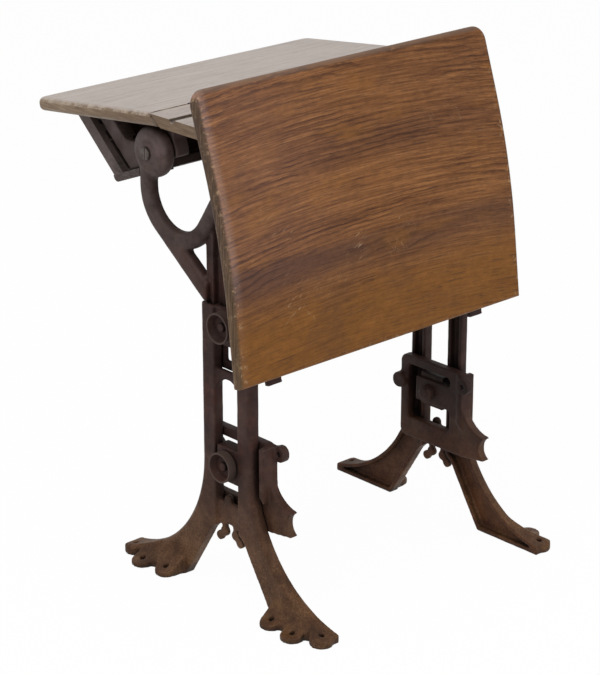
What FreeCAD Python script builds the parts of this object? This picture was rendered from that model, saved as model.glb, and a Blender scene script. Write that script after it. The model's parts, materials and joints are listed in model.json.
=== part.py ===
# School desk with lift lid: cast-iron legs and standards, wooden lid, pencil rail, book box and backrest.
# Frame: +Z up, X across the desk, the pupil sits at -Y and the backrest faces +Y.
# The origin is on the floor, midway between the two legs. Sizes are millimetres, angles are degrees.
import FreeCAD, Part
import Sketcher
import os
from math import acos, asin, atan2, cos, degrees, radians, sin, sqrt
from types import SimpleNamespace

SIZES = {
    # leg casting
    "leg_depth": 17, "leg_skin": 6, "post_gap": 46, "post_width": 28, "post_wall": 6,
    "post_top": 430, "post_round": 7, "slot_round": 2, "knee_height": 200, "limb_radius": 190,
    "toe_reach": 212, "heel_reach": 92, "arch_top": 108, "arch_half_span": 42, "arch_spring": 81,
    "low_web_top": 141, "web_setback": 4, "web_thickness": 8, "mid_bar_top": 338, "mid_bar_height": 30,
    "mid_bar_rise": 18, "top_web_bottom": 375, "curl_radius": 7, "curl_y": 21, "curl_z": 85,
    "stem_radius": 7.5, "stem_y": 11.5, "stem_z": 94, "stem_width": 7, "web_curl_y": -3, "web_curl_rise": 4,
    # feet with three lobes, screwed to the floor
    "foot_flange": 8, "lobe_radius": 17, "floor_hole_radius": 4, "toe_lobe_out": 21, "toe_lobe_y": 198,
    "mid_lobe_out": 40, "mid_lobe_y": 160, "heel_lobe_out": 35, "heel_lobe_y": 113, "flare_height": 62,
    "flare_reach": 31, "flare_sag": 13,
    # clamps with cup washers
    "clamp_height": 406, "clamp_boss_radius": 23, "clamp_boss_proud": 1, "bolt_radius": 5,
    "bolt_clearance": 0.4, "thread_clearance": 0.05, "cup_radius": 22, "cup_depth": 13, "cup_wall": 2.2,
    "cup_floor": 3, "cup_taper": 5, "bolt_head_radius": 6.5, "bolt_head_height": 5, "plate_half_width": 45,
    "plate_height": 30, "plate_thickness": 8, "nut_radius": 12, "nut_collar": 5, "nut_dome": 7,
    "bolt_end": 6,
    # upper standard casting
    "slide_gap": 0.3, "rib_gap": 0.4, "slider_plate": 7, "slider_plate_in": 19, "slider_bottom": 334,
    "slider_bar": 13, "slider_web_bottom": 442, "slider_web_drop": 33, "rear_bar_drop": 24,
    "front_bar_rise": 34, "bar_groove": 9, "bar_groove_depth": 3, "ring_y": -100, "ring_drop": 48.5,
    "ring_inner": 53, "ring_width": 25, "arm_inset": 2, "arm_depth": 20, "arm_round": 8,
    "boss_offset": 12.5, "boss_z": 618.5, "boss_radius": 36, "boss_depth": 22, "boss_round": 6,
    "boss_dome_inset": 6, "neck_round": 10, "crotch_round": 3, "collar_radius": 15, "collar_height": 2,
    "strut_width": 28, "strut_inset": 3, "back_arm_angle": 57, "back_arm_run": 146, "strap_inset": 2,
    "strap_screw_inset": 7, "strap_width": 26, "strap_thickness": 8, "strap_top_drop": 88, "strap_nub": 14,
    # bent wooden backrest
    "back_half_width": 273.05, "back_thickness": 19, "back_top_y": 11, "back_top_rise": 55.9,
    "back_top_lean": 18.4, "back_bend_radius": 1040, "back_low_lean": 6.9, "back_top_run": 98,
    "back_low_run": 96.5, "back_corner_round": 22, "back_edge_round": 6,
    # wooden top: lid and pencil rail
    "top_half_width": 260.6, "board_thickness": 19, "rail_thickness": 16, "pivot_y": -98,
    "pivot_rise": 73.9, "pivot_depth": 2, "lid_angle": 6.45, "lid_reach": 253, "lid_edge_gap": 1,
    "lid_bevel": 12, "lid_round": 8, "rail_edge_gap": 3, "rail_bevel": 21, "rail_back_gap": 0.5,
    "groove_y": -50, "groove_width": 12, "groove_depth": 5, "top_corner_round": 14,
    # book box of two boards between iron brackets; the standards and legs follow its width
    "box_corner_y": -243, "box_corner_drop": 65.5, "box_bottom_angle": 22, "box_front_angle": 42.3,
    "box_half_width": 205, "box_overhang": 8, "box_bottom_thickness": 11, "box_bottom_depth": 122,
    "box_bottom_round": 8, "box_front_thickness": 19, "box_front_setback": 2, "lid_rest_gap": 0.3,
    "bracket_depth": 24, "bracket_arm_width": 32, "bracket_slot_width": 8, "bracket_slot_depth": 13,
    "bracket_base": 14, "bracket_crotch": 50, "bracket_boss_radius": 36, "upright_front_y": -151,
    "upright_rear_y": -124, "flange_thickness": 12, "flange_drop": 7.5, "flange_step_y": -70,
    "flange_rear_y": -22,
    # hinges in the seam
    "hinge_x": 165, "hinge_length": 51, "knuckle_radius": 3, "knuckle_gap": 0.3, "pin_radius": 1.25,
    "pin_clearance": 0.05, "leaf_thickness": 1, "leaf_start": 0.4, "leaf_reach": 17, "leaf_screw_pitch": 30,
    "leaf_screw_share": 0.68, "knuckle_notch_gap": 0.5,
    # seat brackets that ride on the legs
    "seat_plate": 14, "seat_rear_y": -58, "seat_bottom": 116, "seat_top": 247, "window_half_width": 43,
    "seat_top_bar": 14, "seat_low_bar": 32, "seat_corner_round": 11, "flange_gap": 9, "guide_gap": 0.6,
    "seat_front_wall": 10, "seat_front_depth": 11, "seat_wall_inset": 3, "wall_drop": 4,
    "wrap_bottom": 170, "seat_clamp_height": 200, "guide_half_height": 26, "cross_half_height": 19,
    "cross_rear": 27, "block_recess": 2, "front_ear_y": 76, "front_ear_z": 232, "front_ear_radius": 12,
    "ear_depth": 12, "ear_inset": 6, "ear_hole_radius": 3.5, "rear_ear_y": -55, "rear_ear_z": 206,
    "rear_ear_radius": 12, "horn_top_z": 194, "horn_reach": 116, "horn_prong_z": 158, "horn_low_z": 122,
    "horn_saddle": 12, "horn_curve_share": 0.33,
    # wood screws
    "screw_head_radius": 5, "screw_head_height": 3, "screw_radius": 2.2, "screw_length": 16,
    "screw_clearance": 0.05, "slot_width": 1.2, "slot_depth": 1, "boss_screw_head_radius": 9,
    "boss_screw_head_height": 3.5, "boss_screw_radius": 4, "leaf_screw_head_radius": 2.6,
    "leaf_screw_head_height": 0.8, "leaf_screw_radius": 1.2, "leaf_screw_length": 9,
    # one overrun serves all cuts
    "overrun": 2,
}

# places worked out in the sheet from the sizes above: across the desk from the book box, up it from the boss
PLACES = {
    "arm_inner_x": "=box_half_width - box_overhang",
    "bracket_inner_x": "=arm_inner_x - bracket_depth",
    "leg_inner_x": "=arm_inner_x + arm_inset",
    "strap_centre_x": "=leg_inner_x - strap_inset",
    "toe_lobe_x": "=leg_inner_x + toe_lobe_out",
    "mid_lobe_x": "=leg_inner_x + mid_lobe_out",
    "heel_lobe_x": "=leg_inner_x + heel_lobe_out",
    "ring_z": "=boss_z - ring_drop",
    "slider_web_top": "=ring_z - slider_web_drop",
    "rear_bar_top": "=ring_z - rear_bar_drop",
    "front_bar_top": "=ring_z + front_bar_rise",
    "pivot_z": "=boss_z + pivot_rise",
    "back_top_z": "=pivot_z + back_top_rise",
    "box_corner_z": "=boss_z - box_corner_drop",
}

doc = FreeCAD.newDocument("school_desk")
sheet = doc.addObject("Spreadsheet::Sheet", "sizes")
for row, (name, value) in enumerate({**SIZES, **PLACES}.items(), start=1):
    sheet.set("A%d" % row, name)
    sheet.set("B%d" % row, str(value))
    sheet.setAlias("B%d" % row, name)
doc.recompute()
v = SimpleNamespace(**{name: float(sheet.get(name)) for name in {**SIZES, **PLACES}})

ORIGIN = FreeCAD.Vector(0, 0, 0)
ACROSS = FreeCAD.Vector(1, 0, 0)
UP = FreeCAD.Vector(0, 0, 1)
SIDES = (1, -1)
TOLERANCE = 1e-4
ON_AXIS = "0"
FRONT_SCREW_SHARES = (0.3, 0.75)
BOTTOM_SCREW_SHARES = (0.35, 0.85)
RAIL_SCREW_SHARES = (0.25, 0.75)
WIDE_FACE_SHARE = 0.9
nodes = []

# places that several pieces share
leg_outer_x = v.leg_inner_x + v.leg_depth
slot_half = v.post_gap / 2
post_outer = slot_half + v.post_width
channel_in = slot_half + v.post_wall
channel_out = post_outer - v.post_wall
channel_floor_x = leg_outer_x - v.leg_skin
plate_outer_x = v.leg_inner_x - v.slide_gap
slider_inner_x = plate_outer_x - v.slider_plate
arm_outer_x = v.arm_inner_x + v.arm_depth
boss_face_x = v.arm_inner_x + v.boss_depth
ring_outer = v.ring_inner + v.ring_width
boss_y = v.ring_y - v.ring_inner - v.ring_width / 2 + v.boss_offset
rail_top = v.pivot_z + v.pivot_depth
rail_bottom = rail_top - v.rail_thickness
seat_inner_x = plate_outer_x - v.seat_plate


def spot(x, y, z):
    return FreeCAD.Vector(x, y, z)


def along(y, z, direction, distance):
    """The (y, z) point at a distance from another one."""
    return (y + direction[0] * distance, z + direction[1] * distance)


def unit(angle):
    """The (y, z) direction that rises by an angle towards +Y."""
    return (cos(radians(angle)), sin(radians(angle)))


def block(x_from, x_to, y_from, y_to, z_from, z_to):
    return Part.makeBox(x_to - x_from, y_to - y_from, z_to - z_from, spot(x_from, y_from, z_from))


def drum(x_from, x_to, y, z, radius):
    return Part.makeCylinder(radius, x_to - x_from, spot(x_from, y, z), ACROSS)


def prism(corners, x_from, x_to):
    """A straight prism along X on a closed outline of (y, z) corners."""
    ring = [spot(x_from, y, z) for y, z in corners]
    return Part.Face(Part.makePolygon(ring + ring[:1])).extrude(ACROSS * (x_to - x_from))


def rod(start, direction, radius, length):
    return Part.makeCylinder(radius, length, start, direction)


def joined(shapes):
    return shapes[0].multiFuse(shapes[1:]).removeSplitter()


def rounded(shape, radius, chosen):
    return shape.makeFillet(radius, [edge for edge in shape.Edges if chosen(edge)])


def runs_along(edge, direction):
    """True for a straight edge in a direction."""
    if edge.Curve.TypeId != "Part::GeomLine":
        return False
    return abs(abs(edge.Curve.Direction.dot(direction)) - 1) < TOLERANCE


def at_x(edge, x):
    """True for an edge that lies in the plane of one X."""
    box = edge.BoundBox
    return abs(box.XMin - x) < TOLERANCE and abs(box.XMax - x) < TOLERANCE


def both_sides(shape):
    """The right-hand solids and their mirror images, as one group."""
    return Part.makeCompound([shape, shape.mirror(ORIGIN, ACROSS)])


def piece(label, shape):
    feature = doc.addObject("Part::Feature", label)
    feature.Label = label
    feature.Shape = shape
    nodes.append(feature)
    return feature


def twin(label, source):
    """The left-hand piece, mirrored from the right-hand one."""
    feature = doc.addObject("Part::Mirroring", label)
    feature.Label = label
    feature.Source = source
    feature.Normal = ACROSS
    nodes.append(feature)


def side_pair(name, shape):
    twin(name + "_left", piece(name + "_right", shape))


def screw(seat, direction, head_radius, head_height, radius, length):
    """A slotted screw whose head stands on its seat; direction points into the wood."""
    head = rod(seat - direction * head_height, direction, head_radius, head_height)
    shank = rod(seat, direction, radius, length)
    slot = Part.makeBox(2 * head_radius + v.overrun, v.slot_width, v.slot_depth + v.overrun)
    slot.translate(spot(-head_radius - v.overrun / 2, -v.slot_width / 2, -v.overrun))
    slot.Placement = FreeCAD.Placement(
        seat - direction * head_height, FreeCAD.Rotation(UP, direction)
    ).multiply(slot.Placement)
    return head.fuse(shank).cut(slot)


def wood_screw(seat, direction):
    return screw(seat, direction, v.screw_head_radius, v.screw_head_height, v.screw_radius, v.screw_length)


def screw_hole(seat, direction, radius, length):
    """The hole that a screw's shank fits, open at its seat."""
    start = seat - direction * v.overrun
    return rod(start, direction, radius + v.screw_clearance, length + v.overrun + v.screw_clearance)


# Bodies drawn as sketches whose corners are expressions of the sheet


def outline_sketch(body, role, corners):
    """A closed outline in one of a body's origin planes; a corner at height 0 lies on the sketch's axis."""
    sketch = body.newObject("Sketcher::SketchObject", body.Name + "_outline")
    plane = [item for item in body.Origin.OriginFeatures if item.Role == role][0]
    sketch.AttachmentSupport = [(plane, "")]
    sketch.MapMode = "FlatFace"
    places = [spot(sketch.evalExpression(along_x), sketch.evalExpression(up), 0) for along_x, up in corners]
    for start, end in zip(places, places[1:] + places[:1]):
        sketch.addGeometry(Part.LineSegment(start, end), False)
    count = len(places)
    for index in range(count):
        following = (index + 1) % count
        sketch.addConstraint(Sketcher.Constraint("Coincident", index, 2, following, 1))
    for index, (along_x, up) in enumerate(corners):
        sizes = [("DistanceX", along_x, places[index].x)]
        if up == ON_AXIS:
            sketch.addConstraint(Sketcher.Constraint("PointOnObject", index, 1, -1))
        else:
            sizes.append(("DistanceY", up, places[index].y))
        for kind, expression, value in sizes:
            number = sketch.addConstraint(Sketcher.Constraint(kind, -1, 1, index, 1, value))
            sketch.setExpression("Constraints[%d]" % number, expression)
    return sketch


def padded_body(name, corners, half_width):
    """A body of an outline in the YZ plane, padded evenly to both sides."""
    body = doc.addObject("PartDesign::Body", name)
    pad = body.newObject("PartDesign::Pad", name + "_pad")
    pad.Profile = outline_sketch(body, "YZ_Plane", corners)
    pad.Midplane = True
    pad.setExpression("Length", "2 * " + half_width)
    doc.recompute()
    return body, pad


def turned_body(name, corners, height):
    """A body of an outline turned about the X axis, lifted to a height."""
    body = doc.addObject("PartDesign::Body", name)
    turn = body.newObject("PartDesign::Revolution", name + "_turn")
    turn.Profile = outline_sketch(body, "XZ_Plane", corners)
    turn.ReferenceAxis = (turn.Profile[0], ["H_Axis"])
    turn.Angle = 360
    body.setExpression("Placement.Base.z", height)
    doc.recompute()
    return body, turn


def rounded_body(body, base, name, radius, chosen):
    """Rounds the chosen edges of a body's last feature."""
    fillet = body.newObject("PartDesign::Fillet", name)
    names = ["Edge%d" % (index + 1) for index, edge in enumerate(base.Shape.Edges) if chosen(edge)]
    fillet.Base = (base, names)
    fillet.setExpression("Radius", radius)
    doc.recompute()
    return fillet


def node_pair(name, feature):
    """The right-hand node from an object of the document, and its mirrored twin."""
    feature.Label = name + "_right"
    nodes.append(feature)
    twin(name + "_left", feature)


# Legs


def limb_face(x):
    """Side outline of a front limb: the outer curve, the sole and the underside."""
    centre_y = post_outer + v.limb_radius
    toe_z = v.knee_height - sqrt(v.limb_radius**2 - (centre_y - v.toe_reach) ** 2)
    half_turn = degrees(asin((v.knee_height - toe_z) / v.limb_radius)) / 2
    middle = along(centre_y, v.knee_height, unit(180 + half_turn), v.limb_radius)
    knee = spot(x, post_outer, v.knee_height)
    toe = spot(x, v.toe_reach, toe_z)
    corners = [
        toe,
        spot(x, v.toe_reach, 0),
        spot(x, v.heel_reach, 0),
        spot(x, v.arch_half_span, v.arch_spring),
        spot(x, slot_half, v.arch_spring),
        spot(x, slot_half, v.knee_height),
        knee,
    ]
    edges = [Part.Arc(knee, spot(x, *middle), toe).toShape()]
    edges += [Part.LineSegment(a, b).toShape() for a, b in zip(corners, corners[1:])]
    return Part.Face(Part.Wire(edges))


def foot_plan(height):
    """The foot seen from above: a wedge with three round lobes, as high as asked."""
    lobes = foot_holes()
    heel = spot(v.heel_lobe_x, v.heel_lobe_y - v.lobe_radius, 0)
    ring = [spot(v.leg_inner_x, v.heel_reach, 0), heel] + lobes + [spot(v.leg_inner_x, v.toe_reach, 0)]
    wedge = Part.Face(Part.makePolygon(ring + ring[:1])).extrude(UP * height)
    return joined([wedge] + [rod(centre, UP, v.lobe_radius, height) for centre in lobes])


def foot_holes():
    return [
        spot(v.heel_lobe_x, v.heel_lobe_y, 0),
        spot(v.mid_lobe_x, v.mid_lobe_y, 0),
        spot(v.toe_lobe_x, v.toe_lobe_y, 0),
    ]


def foot():
    """One front foot: the flange on the floor and the flare that rises into the limb."""
    flare_end_x = leg_outer_x + v.flare_reach
    start = spot(leg_outer_x - v.post_round, 0, v.flare_height)
    end = spot(flare_end_x, 0, v.foot_flange)
    middle = (start + end) / 2 - (spot(1, 0, 1) * (v.flare_sag / sqrt(2)))
    corners = [end, spot(flare_end_x, 0, 0), spot(v.leg_inner_x, 0, 0)]
    corners += [spot(v.leg_inner_x, 0, v.flare_height), start]
    edges = [Part.Arc(start, middle, end).toShape()]
    edges += [Part.LineSegment(a, b).toShape() for a, b in zip(corners, corners[1:])]
    flare = Part.Face(Part.Wire(edges)).extrude(spot(0, v.toe_reach + v.overrun, 0))
    side = limb_face(leg_outer_x - v.leg_skin).extrude(ACROSS * (v.leg_skin + v.flare_reach))
    flare = flare.common(side).common(foot_plan(v.flare_height))
    return joined([foot_plan(v.foot_flange), flare])


def leg():
    posts = []
    hollows = []
    limb = limb_face(v.leg_inner_x).extrude(ACROSS * v.leg_depth)
    hollow = limb_face(v.leg_inner_x).makeOffset2D(-v.post_wall)
    limb = rounded(
        limb,
        v.post_round,
        lambda edge: at_x(edge, leg_outer_x) and edge.Curve.TypeId == "Part::GeomCircle",
    )
    post = block(v.leg_inner_x, leg_outer_x, slot_half, post_outer, v.knee_height, v.post_top)
    post = rounded(
        post,
        v.post_round,
        lambda edge: runs_along(edge, UP) and at_x(edge, leg_outer_x) and edge.BoundBox.YMin > channel_in,
    )
    channel = block(
        v.leg_inner_x - v.overrun,
        channel_floor_x,
        channel_in,
        channel_out,
        v.knee_height - 2 * v.post_wall,
        v.post_top + v.overrun,
    )
    arch_rise = v.arch_top - v.arch_spring
    arch_radius = (v.arch_half_span**2 + arch_rise**2) / (2 * arch_rise)
    arch_z = v.arch_top - arch_radius
    arch_room = drum(v.leg_inner_x, leg_outer_x, 0, arch_z, arch_radius + v.post_wall)
    hollow = hollow.extrude(ACROSS * (channel_floor_x - v.leg_inner_x)).cut(arch_room)
    for shape in (limb, post, foot()):
        posts += [shape, shape.mirror(ORIGIN, spot(0, 1, 0))]
    for shape in (channel, hollow):
        hollows += [shape, shape.mirror(ORIGIN, spot(0, 1, 0))]
    web_outer = leg_outer_x - v.web_setback
    web_inner = web_outer - v.web_thickness
    low_web = block(web_inner, web_outer, -slot_half, slot_half, v.arch_spring, v.low_web_top)
    mid_bottom = v.mid_bar_top - v.mid_bar_height
    mid_bar = block(web_inner, web_outer, -slot_half, slot_half, mid_bottom, v.mid_bar_top)
    top_web = block(web_inner, web_outer, -slot_half, slot_half, v.top_web_bottom, v.post_top)
    seat = drum(web_inner, leg_outer_x + v.clamp_boss_proud, 0, v.clamp_height, v.clamp_boss_radius)
    arch = drum(v.leg_inner_x - v.overrun, leg_outer_x + v.overrun, 0, arch_z, arch_radius)
    bar_radius = (slot_half**2 + v.mid_bar_rise**2) / (2 * v.mid_bar_rise)
    bar_arch = drum(
        v.leg_inner_x, leg_outer_x, 0, mid_bottom + v.mid_bar_rise - bar_radius, bar_radius
    ).common(block(web_inner, web_outer, -slot_half, slot_half, mid_bottom, v.mid_bar_top))
    web_curl_z = v.low_web_top + v.web_curl_rise
    curls = [drum(web_inner, web_outer, v.web_curl_y, web_curl_z, v.curl_radius)]
    for side in SIDES:
        stem_from = side * v.stem_y - v.stem_width / 2
        curls += [
            drum(web_inner, web_outer, side * v.curl_y, v.curl_z, v.curl_radius),
            drum(web_inner, web_outer, side * v.stem_y, v.stem_z, v.stem_radius),
            block(web_inner, web_outer, stem_from, stem_from + v.stem_width, v.stem_z, v.arch_top),
        ]
    solid = joined(posts).cut(Part.makeCompound(hollows[:2])).cut(Part.makeCompound(hollows[2:]))
    solid = joined([solid, low_web, mid_bar, top_web, seat]).cut(arch).cut(bar_arch)
    solid = joined([solid] + curls)
    bolt_hole_radius = v.bolt_radius + v.bolt_clearance
    holes = [drum(web_inner - v.overrun, leg_outer_x + v.leg_depth, 0, v.clamp_height, bolt_hole_radius)]
    for centre in foot_holes():
        for side in SIDES:
            base = spot(centre.x, side * centre.y, -v.overrun)
            holes.append(rod(base, UP, v.floor_hole_radius, v.flare_height + v.overrun))
    return solid.cut(Part.makeCompound(holes))


side_pair("leg", leg())


# Clamps: cup washer, bolt with round head, dome nut


def cup(name, seat, height):
    """A cup washer that opens outwards from its seat."""
    hole = "sizes.bolt_radius + sizes.bolt_clearance"
    rim = seat + " + sizes.cup_depth"
    floor = seat + " + sizes.cup_floor"
    inside = "sizes.cup_radius - sizes.cup_wall"
    low_inside = inside + " - sizes.cup_taper"
    corners = [
        (seat, hole),
        (seat, "sizes.cup_radius"),
        (rim, "sizes.cup_radius"),
        (rim, inside),
        (floor, low_inside),
        (floor, hole),
    ]
    body, turn = turned_body(name + "_body", corners, height)
    node_pair(name, body)


def bolt(name, seat, height, inner):
    """A bolt whose round head lies in the cup and whose end shows inside the nut."""
    head = seat + " + sizes.cup_floor"
    top = head + " + sizes.bolt_head_height"
    end = inner + " - sizes.bolt_end"
    corners = [
        (end, ON_AXIS),
        (end, "sizes.bolt_radius"),
        (head, "sizes.bolt_radius"),
        (head, "sizes.bolt_head_radius"),
        (top, "sizes.bolt_head_radius"),
        (top, ON_AXIS),
    ]
    body, turn = turned_body(name + "_body", corners, height)
    top_x = turn.Shape.BoundBox.XMax
    rounded_body(
        body, turn, name + "_head_round", "sizes.bolt_head_height / 2", lambda edge: at_x(edge, top_x)
    )
    node_pair(name, body)


def nut(name, face, height):
    """A dome nut against a face, its dome towards the middle of the desk."""
    tip = face + " - sizes.nut_collar - sizes.nut_dome"
    bore = "sizes.bolt_radius + sizes.thread_clearance"
    bore_end = face + " - sizes.bolt_end - sizes.thread_clearance"
    corners = [
        (face, bore),
        (face, "sizes.nut_radius"),
        (tip, "sizes.nut_radius"),
        (tip, ON_AXIS),
        (bore_end, ON_AXIS),
        (bore_end, bore),
    ]
    body, turn = turned_body(name + "_body", corners, height)
    tip_x = turn.Shape.BoundBox.XMin
    rounded_body(body, turn, name + "_dome", "sizes.nut_dome", lambda edge: at_x(edge, tip_x))
    node_pair(name, body)


UPPER_SEAT = "sizes.leg_inner_x + sizes.leg_depth + sizes.clamp_boss_proud"
UPPER_INNER = "sizes.leg_inner_x - 2 * sizes.slide_gap - sizes.slider_plate - sizes.plate_thickness"
plate_face_x = slider_inner_x - v.slide_gap - v.plate_thickness
plate = block(
    plate_face_x,
    plate_face_x + v.plate_thickness,
    -v.plate_half_width,
    v.plate_half_width,
    v.clamp_height - v.plate_height / 2,
    v.clamp_height + v.plate_height / 2,
)
plate = rounded(plate, v.slot_round, lambda edge: runs_along(edge, ACROSS))
plate_hole = drum(
    plate_face_x - v.overrun,
    slider_inner_x,
    0,
    v.clamp_height,
    v.bolt_radius + v.bolt_clearance,
)
cup("upper_cup", UPPER_SEAT, "sizes.clamp_height")
bolt("upper_bolt", UPPER_SEAT, "sizes.clamp_height", UPPER_INNER)
side_pair("upper_clamp_plate", plate.cut(plate_hole))
nut("upper_nut", UPPER_INNER + " - sizes.slide_gap", "sizes.clamp_height")


# Backrest: straight above, bent in the middle, straight below


def bent_wire_points(depth, top_skip, low_extra):
    """Points of the bent line at a depth behind the backrest's front face, from the top down."""
    top_lean = unit(v.back_top_lean)
    low_lean = unit(v.back_low_lean)
    top = along(v.back_top_y, v.back_top_z, top_lean, -depth)
    start = along(*top, (top_lean[1], -top_lean[0]), top_skip)
    bend_start = along(*top, (top_lean[1], -top_lean[0]), v.back_top_run)
    centre = along(*bend_start, top_lean, depth - v.back_bend_radius)
    radius = v.back_bend_radius - depth
    bend_middle = along(*centre, unit((v.back_top_lean + v.back_low_lean) / 2), radius)
    bend_end = along(*centre, low_lean, radius)
    end = along(*bend_end, (low_lean[1], -low_lean[0]), v.back_low_run + low_extra)
    return start, bend_start, bend_middle, bend_end, end


def bent_slab(x_from, x_to, depth_from, depth_to, top_skip, low_extra):
    front = [spot(x_from, y, z) for y, z in bent_wire_points(depth_from, top_skip, low_extra)]
    rear = [spot(x_from, y, z) for y, z in bent_wire_points(depth_to, top_skip, low_extra)]
    edges = []
    for start, bend_start, bend_middle, bend_end, end in (front, rear):
        edges.append(Part.LineSegment(start, bend_start).toShape())
        edges.append(Part.Arc(bend_start, bend_middle, bend_end).toShape())
        edges.append(Part.LineSegment(bend_end, end).toShape())
    edges.append(Part.LineSegment(front[0], rear[0]).toShape())
    edges.append(Part.LineSegment(front[-1], rear[-1]).toShape())
    face = Part.Face(Part.Wire(Part.__sortEdges__(edges)))
    return face.extrude(ACROSS * (x_to - x_from))


def strap_screw_places():
    """Seats of the backrest screws on a strap's rear face, with the way into the wood."""
    depth = v.back_thickness + v.strap_thickness
    start, bend_start, bend_middle, bend_end, end = bent_wire_points(depth, v.strap_top_drop, 0)
    top_lean = unit(v.back_top_lean)
    low_lean = unit(v.back_low_lean)
    top_edge = along(*start, (top_lean[1], -top_lean[0]), v.screw_head_radius + v.overrun)
    low_edge = along(*end, (-low_lean[1], low_lean[0]), v.strap_width)
    low_high = along(*bend_end, (low_lean[1], -low_lean[0]), v.strap_width)
    leans = ((top_edge, top_lean), (low_high, low_lean), (low_edge, low_lean))
    screw_x = v.strap_centre_x - v.strap_screw_inset
    return [(spot(screw_x, *place), spot(0, *lean)) for place, lean in leans]


def backrest():
    board = bent_slab(-v.back_half_width, v.back_half_width, 0, v.back_thickness, 0, 0)
    lean = spot(0, *unit(v.back_top_lean))
    board = rounded(
        board,
        v.back_corner_round,
        lambda edge: runs_along(edge, lean) and edge.BoundBox.ZMin > v.back_top_z - v.back_thickness,
    )
    wide_area = board.BoundBox.XLength * v.back_low_run * WIDE_FACE_SHARE
    faces = [face for face in board.Faces if face.Area > wide_area]
    wires = [edge for face in faces for edge in face.OuterWire.Edges]
    outer = []
    for edge in wires:
        shared = sum(1 for other in wires if other.isSame(edge))
        if shared == 1:
            outer.append(edge)
    board = board.makeFillet(v.back_edge_round, outer)
    holes = []
    for seat, direction in strap_screw_places():
        hole = screw_hole(seat, direction, v.screw_radius, v.screw_length)
        holes += [hole, hole.mirror(ORIGIN, ACROSS)]
    return board.cut(Part.makeCompound(holes))


piece("backrest", backrest())
piece("backrest_screws", Part.makeCompound(
    [both_sides(wood_screw(seat, direction)) for seat, direction in strap_screw_places()]
))


# Upper standards


def ring_point(angle, radius):
    """The (y, z) point of the ring at an angle from +Y."""
    return along(v.ring_y, v.ring_z, unit(angle), radius)


def ring_arc(angle_from, angle_to, radius):
    angles = (angle_from, (angle_from + angle_to) / 2, angle_to)
    return Part.Arc(*[spot(v.arm_inner_x, *ring_point(angle, radius)) for angle in angles]).toShape()


def straight_edges(corners):
    places = [spot(v.arm_inner_x, y, z) for y, z in corners]
    return [Part.LineSegment(a, b).toShape() for a, b in zip(places, places[1:])]


def ring_casting(strut_end_y):
    """The ring, its front and back arms and the strut, whose outer line is a tangent of the ring."""
    foot_y = -post_outer + v.strut_inset
    foot_z = v.post_top + v.overrun
    from_ring = (foot_y - v.ring_y, foot_z - v.ring_z)
    distance = sqrt(from_ring[0] ** 2 + from_ring[1] ** 2)
    touch = degrees(atan2(from_ring[1], from_ring[0]) - acos(ring_outer / distance))
    inside = ring_outer - v.strut_width
    crotch = touch + degrees(acos(inside / ring_outer))
    run = unit(touch + 90)
    inner_start = ring_point(touch, inside)
    inner_end = along(*inner_start, run, (strut_end_y - inner_start[0]) / run[0])
    leave = v.back_arm_angle - 90
    back_run = unit(v.back_arm_angle)
    outer_leave = ring_point(leave, ring_outer)
    inner_leave = ring_point(leave, v.ring_inner)
    strut = [
        ring_point(touch, ring_outer),
        (foot_y, foot_z),
        (strut_end_y, foot_z),
        inner_end,
        ring_point(crotch, ring_outer),
    ]
    back_arm = [
        outer_leave,
        along(*outer_leave, back_run, v.back_arm_run),
        along(*inner_leave, back_run, v.back_arm_run),
        inner_leave,
    ]
    front_arm = [
        (v.ring_y - v.ring_inner, v.ring_z),
        (v.ring_y - v.ring_inner, v.boss_z),
        (v.ring_y - ring_outer, v.boss_z),
        (v.ring_y - ring_outer, v.ring_z),
    ]
    edges = [ring_arc(-180, touch, ring_outer)] + straight_edges(strut)
    edges += [ring_arc(crotch, leave, ring_outer)] + straight_edges(back_arm)
    edges += [ring_arc(leave, -180, v.ring_inner)] + straight_edges(front_arm)
    plate = Part.Face(Part.Wire(edges)).extrude(ACROSS * v.arm_depth)
    solid = joined([plate, drum(v.arm_inner_x, arm_outer_x, boss_y, v.boss_z, v.boss_radius)])
    necks = []
    for y in (v.ring_y - v.ring_inner, v.ring_y - ring_outer):
        necks.append((y, v.boss_z - sqrt(v.boss_radius**2 - (y - boss_y) ** 2)))
    corner = [ring_point(crotch, ring_outer)]
    for radius, points in ((v.neck_round, necks), (v.crotch_round, corner)):
        places = [spot(v.arm_inner_x, y, z) for y, z in points]
        solid = rounded(
            solid,
            radius,
            lambda edge: runs_along(edge, ACROSS)
            and min(place.distanceToPoint(end.Point) for place in places for end in edge.Vertexes) < TOLERANCE,
        )
    return rounded(
        solid,
        v.arm_round,
        lambda edge: (at_x(edge, v.arm_inner_x) or at_x(edge, arm_outer_x))
        and edge.BoundBox.YMin < 0
        and (edge.BoundBox.YMin < -post_outer or edge.BoundBox.ZMax > v.ring_z),
    )


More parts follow.
